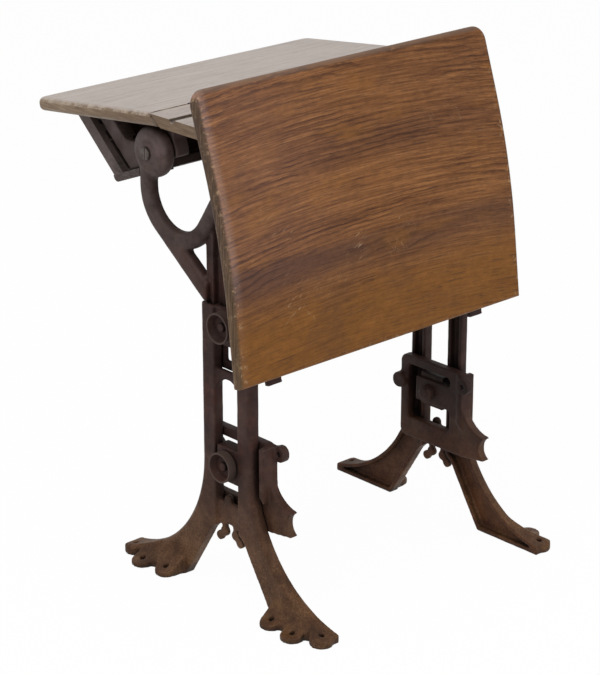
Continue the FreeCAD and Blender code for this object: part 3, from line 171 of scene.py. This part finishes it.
class Look:
    """A node material: a Principled shader and short calls for the nodes that feed it."""

    def __init__(self, name):
        self.material = bpy.data.materials.new(name)
        self.material.use_nodes = True
        self.tree = self.material.node_tree
        self.tree.nodes.clear()
        output = self.tree.nodes.new("ShaderNodeOutputMaterial")
        self.shader = self.tree.nodes.new("ShaderNodeBsdfPrincipled")
        self.tree.links.new(self.shader.outputs[0], output.inputs[0])
        self.place = self.tree.nodes.new("ShaderNodeTexCoord").outputs["Object"]

    def node(self, kind, inputs, **settings):
        made = self.tree.nodes.new(kind)
        for name, value in settings.items():
            setattr(made, name, value)
        for key, value in inputs.items():
            self.feed(made.inputs[key], value)
        return made

    def feed(self, socket, value):
        if isinstance(value, bpy.types.NodeSocket):
            self.tree.links.new(value, socket)
        else:
            socket.default_value = value

    def set(self, name, value):
        self.feed(self.shader.inputs[name], value)

    def mapped(self, vector, **mapping):
        """The vector after a Mapping node: Location, Rotation or Scale."""
        return self.node("ShaderNodeMapping", {"Vector": vector, **mapping}).outputs[0]

    def noise(self, vector, scale=1, detail=3, roughness=0.5, distortion=0):
        return self.node(
            "ShaderNodeTexNoise",
            {
                "Vector": vector,
                "Scale": scale,
                "Detail": detail,
                "Roughness": roughness,
                "Distortion": distortion,
            },
        ).outputs["Fac"]

    def math(self, operation, first, second=0.0, third=0.0):
        return self.node(
            "ShaderNodeMath", {0: first, 1: second, 2: third}, operation=operation
        ).outputs[0]

    def times(self, first, second):
        return self.math("MULTIPLY", first, second)

    def plus(self, base, value, share):
        """The base and a share of the value."""
        return self.math("MULTIPLY_ADD", value, share, base)

    def swing(self, noise):
        """Noise about zero."""
        return self.math("SUBTRACT", noise, NOISE_MIDDLE)

    def away(self, value, middle):
        """How far the value is from the middle."""
        return self.math("ABSOLUTE", self.math("SUBTRACT", value, middle))

    def span(self, value, low, high, to_low=0.0, to_high=1.0):
        """A value mapped smoothly from one span to another, held at the ends."""
        return self.node(
            "ShaderNodeMapRange",
            {0: value, 1: low, 2: high, 3: to_low, 4: to_high},
            interpolation_type="SMOOTHSTEP",
        ).outputs[0]

    def patches(self, vector, low, high, **noise):
        """Towards 1 where noise passes from low to high."""
        return self.span(self.noise(vector, **noise), low, high)

    def ramp(self, value, stops):
        made = self.node("ShaderNodeValToRGB", {"Fac": value})
        elements = made.color_ramp.elements
        while len(elements) < len(stops):
            elements.new(1)
        for element, (place, colour) in zip(elements, stops):
            element.position = place
            element.color = (*colour, 1)
        return made.outputs[0]

    def mix(self, share, first, second, blend="MIX"):
        made = self.node("ShaderNodeMix", {}, data_type="RGBA", blend_type=blend)
        for socket, value in ((made.inputs[0], share), (made.inputs[6], first), (made.inputs[7], second)):
            if isinstance(value, tuple):
                value = (*value, 1)
            self.feed(socket, value)
        return made.outputs[2]

    def layer(self, colour, mask, share, tone, blend="MIX"):
        """The colour with a share of a tone laid over it where the mask is."""
        return self.mix(self.times(mask, share), colour, tone, blend)

    def axes(self):
        return self.parts(self.place)

    def parts(self, vector):
        return self.node("ShaderNodeSeparateXYZ", {0: vector}).outputs

    def facing(self):
        """The parts of the surface normal."""
        return self.parts(self.node("ShaderNodeNewGeometry", {}).outputs["Normal"])

    def edges(self, low, high):
        """Towards 1 on edges that stand out."""
        return self.span(self.node("ShaderNodeNewGeometry", {}).outputs["Pointiness"], low, high)

    def vector(self, x, y, z):
        return self.node("ShaderNodeCombineXYZ", {0: x, 1: y, 2: z}).outputs[0]

    def hollow_shade(self, distance):
        """Towards 1 in corners and recesses, where shade is painted in."""
        open_share = self.node("ShaderNodeAmbientOcclusion", {"Distance": distance}, samples=6).outputs["AO"]
        return self.span(open_share, low=0.75, high=0.2, to_high=0.85)

    def finish(self, colour, roughness, specular, height, bump_strength, bump_depth):
        """Sets the shader's main sockets and gives the material."""
        self.set("Base Color", colour)
        self.set("Roughness", roughness)
        self.set("Specular IOR Level", specular)
        bump = {"Height": height, "Strength": bump_strength, "Distance": bump_depth}
        self.set("Normal", self.node("ShaderNodeBump", bump).outputs[0])
        return self.material


def iron_look():
    """Old dark paint over cast iron: purplish brown, rubbed paler, rusty near the floor."""
    look = Look("iron")
    x, _, z = look.axes()
    cloud = look.noise(look.place, scale=9, detail=5, roughness=0.6)
    grit = look.noise(look.place, scale=420, detail=3, roughness=0.6)
    blotch = look.noise(look.place, scale=30, detail=5, roughness=0.7)
    tone = look.plus(cloud, look.swing(blotch), share=0.7)
    colour = look.ramp(tone, IRON_PAINT)
    worn = look.span(tone, low=0.3, high=0.6, to_low=0.35, to_high=0.9)
    colour = look.layer(colour, look.span(z, *IRON_RUBBED_HEIGHTS), worn, IRON_RUBBED)
    worn = look.span(tone, low=0.3, high=0.6, to_low=0.3, to_high=0.9)
    colour = look.layer(colour, look.span(z, *IRON_HANDLED_HEIGHTS), worn, IRON_HANDLED)
    reddened = look.patches(look.place, low=0.48, high=0.66, scale=20, detail=5, roughness=0.65)
    colour = look.layer(colour, reddened, share=0.7, tone=IRON_RED, blend="ADD")
    elsewhere = look.mapped(look.place, Location=IRON_GRIME_SHIFT)
    grimy = look.patches(elsewhere, low=0.5, high=0.66, scale=38, detail=5, roughness=0.7)
    colour = look.layer(colour, grimy, share=0.6, tone=IRON_GRIME, blend="MULTIPLY")
    low = look.span(z, *IRON_RUST_HEIGHTS)
    rusty = look.span(tone, low=0.25, high=0.65, to_low=0.35, to_high=0.95)
    rust = look.ramp(look.plus(grit, look.swing(blotch), share=0.8), IRON_RUST)
    colour = look.layer(colour, rusty, low, rust)
    # Painted shade: faces turned inward, towards the other leg, are darkened, less so near the floor
    inward = look.times(look.facing()[0], look.math("SIGN", x))
    painted_inner_shade = look.mix(low, IRON_INSIDE_PAINTED_SHADE, IRON_INSIDE_PAINTED_SHADE_LOW)
    colour = look.mix(look.span(inward, low=-0.3, high=-0.8, to_high=0.75), colour, painted_inner_shade, "MULTIPLY")
    # Paler convex edges: worn paint together with a painted highlight on the rims
    colour = look.layer(colour, look.edges(low=0.53, high=0.60), share=0.35, tone=IRON_EDGE_WEAR_AND_HIGHLIGHT)
    # Painted shade: corners and recesses darkened towards near black
    colour = look.mix(look.hollow_shade(IRON_HOLLOW_SHADE_REACH), colour, IRON_HOLLOW_SHADE)
    bloom = look.patches(look.place, low=0.60, high=0.75, scale=55, detail=5, roughness=0.7)
    colour = look.layer(colour, bloom, share=0.3, tone=IRON_BLOOM)
    speck = look.patches(look.place, low=0.69, high=0.78, scale=300, detail=2)
    colour = look.layer(colour, speck, share=0.3, tone=IRON_SPECK)
    return look.finish(
        colour,
        roughness=look.span(tone, low=0.3, high=0.75, to_low=0.66, to_high=0.5),
        specular=0.18,
        height=look.plus(look.times(grit, 0.4), blotch, share=0.6),
        bump_strength=0.3,
        bump_depth=0.0008,
    )


def hardware_look():
    """Tarnished steel of hinges and small screws."""
    look = Look("hardware")
    cloud = look.noise(look.place, scale=120, detail=4, roughness=0.6)
    look.set("Metallic", 0.6)
    return look.finish(
        look.ramp(cloud, STEEL),
        roughness=look.span(cloud, low=0.3, high=0.7, to_low=0.62, to_high=0.45),
        specular=0.5,
        height=look.noise(look.place, scale=700, detail=2),
        bump_strength=0.2,
        bump_depth=0.0003,
    )


def grain(look, place, rings, wave_height, end_streaks):
    """Wood's growth lines, fibre and pores, with so many rings to a metre; the ends show streaks instead."""
    _, y, z = look.parts(place)
    broad = look.noise(look.mapped(place, Scale=BROAD_STRETCH), detail=1, roughness=0.4)
    wander = look.noise(look.mapped(place, Scale=WANDER_STRETCH), detail=4, roughness=0.6)
    level = look.plus(z, y, RING_LEAN)
    level = look.plus(level, look.swing(broad), wave_height)
    level = look.plus(level, look.swing(wander), wave_height / WANDER_PART)
    ring = look.math("FRACT", look.times(level, rings))
    line = look.times(look.span(ring, low=0.5, high=0.86), look.span(ring, low=1.0, high=0.92))
    on_end = look.span(look.math("ABSOLUTE", look.facing()[0]), low=0.6, high=0.85)
    along_face = look.noise(look.mapped(place, Scale=FIBRE_STRETCH), detail=4, roughness=0.62)
    along_end = look.noise(look.mapped(place, Scale=end_streaks), detail=4, roughness=0.62)
    fibre = look.node("ShaderNodeMix", {0: on_end, 2: along_face, 3: along_end}).outputs[0]
    pores = look.span(look.noise(look.mapped(place, Scale=PORE_STRETCH), detail=2, roughness=0.6), *PORE_SPAN)
    line = look.times(line, look.math("SUBTRACT", 1.0, on_end))
    return line, fibre, pores


def grain_relief(look, fibre, pores):
    """The height of the wood's surface: fibres stand up and pores are sunk."""
    return look.plus(look.times(fibre, 0.5), pores, share=-0.5)


def back_look():
    """Stained oak of the backrest: two boards, brown with dark growth rings, golden below, pale scuffs."""
    look = Look("back_wood")
    x, y, z = look.axes()
    shift = look.times(look.math("LESS_THAN", z, BACK_JOINT_HEIGHT), BACK_BOARD_SHIFT)
    arch = look.math("POWER", look.away(x, GRAIN_ARCH_PLACE), 2.0)
    level = look.plus(look.math("ADD", z, shift), arch, GRAIN_ARCH)
    place = look.vector(look.math("ADD", x, shift), y, level)
    line, fibre, pores = grain(look, place, rings=135, wave_height=0.10, end_streaks=(4, 420, 34))
    colour = look.ramp(fibre, BACK_BODY)

    # Broad tones: shaded zones, the darker strip below the joint, growth lines, the golden foot
    zone = look.noise(look.mapped(place, Scale=BACK_ZONE_STRETCH))
    colour = look.layer(colour, look.span(zone, 0.40, 0.68), share=0.7, tone=BACK_SHADE, blend="MULTIPLY")
    strip = look.times(look.span(z, *BACK_SEAM_EDGES), look.span(z, *BACK_SEAM_HEIGHTS))
    uneven = look.span(zone, low=0.35, high=0.6, to_low=0.15, to_high=0.75)
    colour = look.layer(colour, strip, uneven, BACK_SEAM)
    clear_place = look.mapped(place, Scale=BACK_CLEAR_STRETCH)
    clear = look.patches(clear_place, low=0.42, high=0.62, scale=1.3, detail=2)
    line_share = look.math("MULTIPLY_ADD", clear, 0.72, 0.08)
    colour = look.layer(colour, line, line_share, BACK_LINE, "MULTIPLY")
    fibrous = look.span(fibre, low=0.3, high=0.6, to_low=0.55, to_high=0.95)
    golden = look.times(look.span(z, *BACK_GOLD_HEIGHTS), fibrous)
    colour = look.layer(colour, golden, share=0.85, tone=BACK_GOLD)
    amber_place = look.mapped(place, Scale=BACK_AMBER_STRETCH)
    amber = look.patches(amber_place, low=0.54, high=0.74, scale=1.7)
    colour = look.layer(colour, amber, share=0.5, tone=BACK_AMBER)

    # Fine tones: mottling, pores, stains, the glue joint, a painted sheen and highlight at one end, flecks
    mottle = look.patches(look.place, low=0.36, high=0.66, scale=85, detail=5, roughness=0.7)
    colour = look.layer(colour, mottle, share=0.35, tone=BACK_MOTTLE, blend="MULTIPLY")
    colour = look.layer(colour, pores, share=0.6, tone=BACK_PORE)
    stain = look.patches(look.place, low=0.52, high=0.72, scale=8, detail=4, roughness=0.65)
    colour = look.layer(colour, stain, share=0.4, tone=BACK_STAIN)
    joint = look.span(look.away(z, BACK_JOINT_HEIGHT), *BACK_JOINT_WIDTHS)
    colour = look.layer(colour, joint, share=0.35, tone=BACK_PORE)
    upper = look.span(z, *BACK_UPPER_HEIGHTS)
    # Painted sheen: a grey haze added over the upper face towards one end
    colour = look.layer(colour, look.span(x, *BACK_PAINTED_SHEEN_PLACES), upper, BACK_PAINTED_SHEEN, "ADD")
    # Painted highlight: a pale band added along the arris at that end
    mostly_upper = look.span(upper, low=0.0, high=1.0, to_low=0.2)
    colour = look.layer(colour, look.span(x, *BACK_PAINTED_HIGHLIGHT_PLACES), mostly_upper, BACK_PAINTED_HIGHLIGHT, "ADD")
    fleck_place = look.mapped(look.place, Scale=BACK_FLECK_STRETCH)
    fleck = look.patches(fleck_place, low=0.5, high=0.66, detail=4, roughness=0.7)
    colour = look.layer(colour, fleck, share=0.4, tone=BACK_FLECK, blend="MULTIPLY")

    # Ends, crown, chipped arrises and scratches
    aside = look.math("ABSOLUTE", x)
    end_tone = look.ramp(fibre, BACK_END)
    end_tone = look.mix(look.span(z, *BACK_END_SHADE_HEIGHTS), end_tone, BACK_END_SHADE, "MULTIPLY")
    colour = look.layer(colour, look.span(aside, *BACK_END_PLACES), share=0.9, tone=end_tone)
    colour = look.layer(colour, look.span(z, *BACK_CROWN_HEIGHTS), share=0.65, tone=BACK_CROWN)
    end_edge = look.span(aside, *BACK_ARRIS_PLACES)
    end_edge = look.times(end_edge, look.span(aside, *BACK_ARRIS_STOP, to_low=0.3))
    rubbed_edge = look.math("MAXIMUM", end_edge, look.span(z, *BACK_FOOT_HEIGHTS))
    chip = look.patches(look.place, low=0.55, high=0.64, scale=130, detail=4, roughness=0.7)
    colour = look.layer(colour, look.times(rubbed_edge, chip), share=0.6, tone=PALE_WOOD)
    for angle, offset in SCRATCHES:
        slanted = look.mapped(look.place, Rotation=(0, radians(angle), 0))
        stretched = look.mapped(slanted, Scale=SCRATCH_STRETCH)
        scratch = look.patches(stretched, low=0.62, high=0.68, detail=2, roughness=0.6, distortion=1.5)
        shifted = look.mapped(look.place, Location=offset)
        scratched = look.times(scratch, look.patches(shifted, low=0.61, high=0.70, scale=7, detail=2))
        colour = look.layer(colour, scratched, share=0.5, tone=PALE_WOOD)
    return look.finish(
        colour,
        roughness=look.span(fibre, low=0.3, high=0.7, to_low=0.62, to_high=0.48),
        specular=0.16,
        height=grain_relief(look, fibre, pores),
        bump_strength=0.25,
        bump_depth=0.0006,
    )


def top_look():
    """Lid and pencil rail: worn varnish, pale grey brown on top, partly a painted sheen, browner on the
    edges.
    """
    look = Look("top_wood")
    x, y, z = look.axes()
    line, fibre, pores = grain(look, look.place, rings=62, wave_height=0.10, end_streaks=(4, 30, 420))
    brown = look.ramp(fibre, TOP_BROWN)
    brown = look.mix(look.span(y, *TOP_REAR_PLACES), brown, TOP_REAR_STAIN, "MULTIPLY")
    upright = look.facing()[2]
    up = look.span(upright, low=0.6, high=0.97)
    # Upward faces get the pale worn colour, which also carries a painted sheen
    colour = look.mix(up, brown, look.ramp(fibre, TOP_WORN_AND_SHEEN))
    colour = look.layer(colour, line, share=0.22, tone=TOP_LINE, blend="MULTIPLY")
    fleck_place = look.mapped(look.place, Scale=TOP_FLECK_STRETCH)
    fleck = look.patches(fleck_place, low=0.5, high=0.66, detail=4, roughness=0.7)
    colour = look.layer(colour, fleck, share=0.45, tone=TOP_FLECK)
    colour = look.layer(colour, pores, share=0.35, tone=TOP_PORE)
    stain = look.patches(look.place, low=0.52, high=0.74, scale=11, detail=4, roughness=0.6)
    colour = look.layer(colour, stain, share=0.3, tone=TOP_STAIN)
    speck = look.patches(look.place, low=0.66, high=0.76, scale=160, roughness=0.6)
    colour = look.layer(colour, speck, share=0.35, tone=TOP_SPECK)
    # Pale arrises: worn varnish together with a painted highlight along the edges
    arris = look.times(look.span(upright, low=0.25, high=0.45), look.span(upright, low=0.97, high=0.90))
    wear_and_highlight_patches = look.patches(look.place, low=0.40, high=0.60, scale=90, detail=4, roughness=0.7)
    colour = look.layer(colour, look.times(arris, wear_and_highlight_patches), share=0.6, tone=TOP_RUBBED_AND_HIGHLIGHT)
    # Painted shade in the pencil groove
    in_groove = look.span(look.away(y, GROOVE_PLACE), *GROOVE_HALF_WIDTHS)
    in_groove = look.times(in_groove, look.span(z, *GROOVE_EDGE_HEIGHTS))
    in_groove = look.times(in_groove, look.span(look.math("ABSOLUTE", x), *GROOVE_ENDS))
    colour = look.layer(colour, in_groove, share=0.8, tone=GROOVE_PAINTED_SHADE)
    look.set("Coat Weight", look.times(up, 0.35))
    look.set("Coat Roughness", 0.35)
    return look.finish(
        colour,
        roughness=look.span(fibre, low=0.3, high=0.7, to_low=0.5, to_high=0.38),
        specular=0.25,
        height=grain_relief(look, fibre, pores),
        bump_strength=0.2,
        bump_depth=0.0005,
    )


def box_look():
    """Book box boards: dark dull stain."""
    look = Look("box_wood")
    _, fibre, _ = grain(look, look.place, rings=70, wave_height=0.05, end_streaks=(4, 90, 300))
    colour = look.ramp(fibre, BOX_BODY)
    front = look.span(look.axes()[1], *BOX_FRONT_PLACES)
    colour = look.layer(colour, front, share=0.55, tone=BOX_FRONT)
    wear = look.patches(look.place, low=0.6, high=0.75, scale=30, detail=4, roughness=0.65)
    colour = look.layer(colour, wear, share=0.35, tone=BOX_WEAR)
    return look.finish(
        colour,
        roughness=look.span(fibre, low=0.3, high=0.7, to_low=0.7, to_high=0.55),
        specular=0.2,
        height=fibre,
        bump_strength=0.3,
        bump_depth=0.0006,
    )


LOOKS = {
    "iron": iron_look(),
    "hardware": hardware_look(),
    "back_wood": back_look(),
    "top_wood": top_look(),
    "box_wood": box_look(),
}
for entry in frame["record"]["subparts"]:
    mesh = nodes[entry["node"]].data
    mesh.materials.clear()
    mesh.materials.append(LOOKS[entry["material_slot"]])

cast_skin = bpy.data.textures.new("cast_skin", "CLOUDS")
cast_skin.noise_scale = CAST_GRAIN
for name, item in nodes.items():
    if name.rsplit("_", 1)[0] in CASTINGS:
        remesh = item.modifiers.new("soft_skin", "REMESH")
        remesh.mode = "VOXEL"
        remesh.voxel_size = CASTING_VOXEL
        remesh.use_smooth_shade = True
        smooth = item.modifiers.new("soft_edges", "SMOOTH")
        smooth.factor = CASTING_SMOOTH_FACTOR
        smooth.iterations = CASTING_SMOOTHING
        rough = item.modifiers.new("cast_roughness", "DISPLACE")
        rough.texture = cast_skin
        rough.texture_coords = "LOCAL"
        rough.strength = CAST_ROUGHNESS
        rough.mid_level = NOISE_MIDDLE
    elif name != "backrest":
        bevel = item.modifiers.new("edges", "BEVEL")
        bevel.width = BEVELS.get(name, SMALL_BEVEL)
        bevel.segments = BEVEL_SEGMENTS
        bevel.limit_method = "ANGLE"
        bevel.angle_limit = radians(BEVEL_ANGLE)


def seen_directly(tree):
    """1 for the rays that should meet a white background: camera, glossy and transmission rays."""
    path = tree.nodes.new("ShaderNodeLightPath")
    total = path.outputs["Is Camera Ray"]
    for name in ("Is Glossy Ray", "Is Transmission Ray"):
        either = tree.nodes.new("ShaderNodeMath")
        either.operation = "MAXIMUM"
        tree.links.new(total, either.inputs[0])
        tree.links.new(path.outputs[name], either.inputs[1])
        total = either.outputs[0]
    return total


def floor_look():
    """A pale floor that takes shadows, and that looks nearly white."""
    material = bpy.data.materials.new("floor")
    material.use_nodes = True
    tree = material.node_tree
    tree.nodes.clear()
    output = tree.nodes.new("ShaderNodeOutputMaterial")
    diffuse = tree.nodes.new("ShaderNodeBsdfDiffuse")
    diffuse.inputs["Color"].default_value = FLOOR_COLOUR
    white = tree.nodes.new("ShaderNodeEmission")
    mix = tree.nodes.new("ShaderNodeMixShader")
    share = tree.nodes.new("ShaderNodeMath")
    share.operation = "MULTIPLY"
    share.inputs[1].default_value = FLOOR_WHITE_SHARE
    tree.links.new(seen_directly(tree), share.inputs[0])
    tree.links.new(share.outputs[0], mix.inputs[0])
    tree.links.new(diffuse.outputs[0], mix.inputs[1])
    tree.links.new(white.outputs[0], mix.inputs[2])
    tree.links.new(mix.outputs[0], output.inputs[0])
    return material


def put(name, data):
    """A new object in the scene."""
    made = bpy.data.objects.new(name, data)
    bpy.context.scene.collection.objects.link(made)
    return made


# Floor
floor_mesh = bpy.data.meshes.new("floor")
half = FLOOR_SIZE / 2
floor_mesh.from_pydata(
    [(-half, -half, 0), (half, -half, 0), (half, half, 0), (-half, half, 0)], [], [(0, 1, 2, 3)]
)
floor_mesh.materials.append(floor_look())
put("floor", floor_mesh)

# World
world = bpy.data.worlds.new("studio")
world.use_nodes = True
tree = world.node_tree
tree.nodes.clear()
output = tree.nodes.new("ShaderNodeOutputWorld")
background = tree.nodes.new("ShaderNodeBackground")
strength = tree.nodes.new("ShaderNodeMapRange")
strength.inputs["To Min"].default_value = WORLD_STRENGTH
strength.inputs["To Max"].default_value = 1
tree.links.new(seen_directly(tree), strength.inputs["Value"])
tree.links.new(strength.outputs[0], background.inputs["Strength"])
background.inputs["Color"].default_value = (1, 1, 1, 1)
tree.links.new(background.outputs[0], output.inputs[0])
bpy.context.scene.world = world

# Lamps
for name, place, aim, size, power in LAMPS:
    lamp = bpy.data.lights.new(name, "AREA")
    lamp.size = size
    lamp.energy = power
    holder = put(name, lamp)
    holder.location = place
    direction = holder.location - type(holder.location)(aim)
    holder.rotation_euler = direction.to_track_quat("Z", "Y").to_euler()

# Camera
camera = bpy.data.cameras.new("camera")
camera.sensor_width = CAMERA_SENSOR
camera.lens = CAMERA_LENS
viewer = put("camera", camera)
viewer.location = CAMERA_PLACE
viewer.rotation_euler = (radians(90 + CAMERA_PITCH), 0, radians(-CAMERA_YAW))
bpy.context.scene.camera = viewer
bpy.context.scene.view_settings.view_transform = "Standard"
